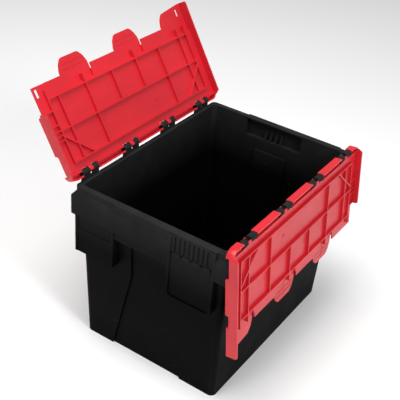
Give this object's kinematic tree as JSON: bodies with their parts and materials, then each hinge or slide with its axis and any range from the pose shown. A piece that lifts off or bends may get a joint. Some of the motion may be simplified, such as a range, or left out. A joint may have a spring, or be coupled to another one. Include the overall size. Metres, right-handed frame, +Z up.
{
  "type": "attached lid tote",
  "caption": "Nesting plastic tote with two interlocking lid leaves hinged on its long sides, ribbed underneath; one leaf leans back, the other hangs down.",
  "frame": {"origin": "centre of the base's underside, on the plane the tote stands on", "axes": "+X along the hinge lines (the tote's length), +Y from the front lid's hinge line towards the rear lid's hinge line (its width), +Z up"},
  "size_m": [0.4, 0.4152, 0.4614],
  "materials": {
    "black_plastic": "satin",
    "red_plastic": "glossy",
    "pin_plastic": "satin"
  },
  "bodies": {
    "tub": {"tub": "black_plastic", "front_hinge_pin_1": "pin_plastic", "front_hinge_pin_2": "pin_plastic", "front_hinge_pin_3": "pin_plastic", "front_hinge_pin_4": "pin_plastic", "rear_hinge_pin_1": "pin_plastic", "rear_hinge_pin_2": "pin_plastic", "rear_hinge_pin_3": "pin_plastic", "rear_hinge_pin_4": "pin_plastic"},
    "front_lid": {"front_lid": "red_plastic"},
    "rear_lid": {"rear_lid": "red_plastic"}
  },
  "joints": [
    {"name": "front_lid_hinge", "type": "hinge", "parent": "tub", "child": "front_lid", "pos_m": [0, -0.144, 0.304], "axis": [1, 0, 0], "range_deg": [-264, 0]},
    {"name": "rear_lid_hinge", "type": "hinge", "parent": "tub", "child": "rear_lid", "pos_m": [0, 0.144, 0.304], "axis": [-1, 0, 0], "range_deg": [-121, 143]}
  ]
}
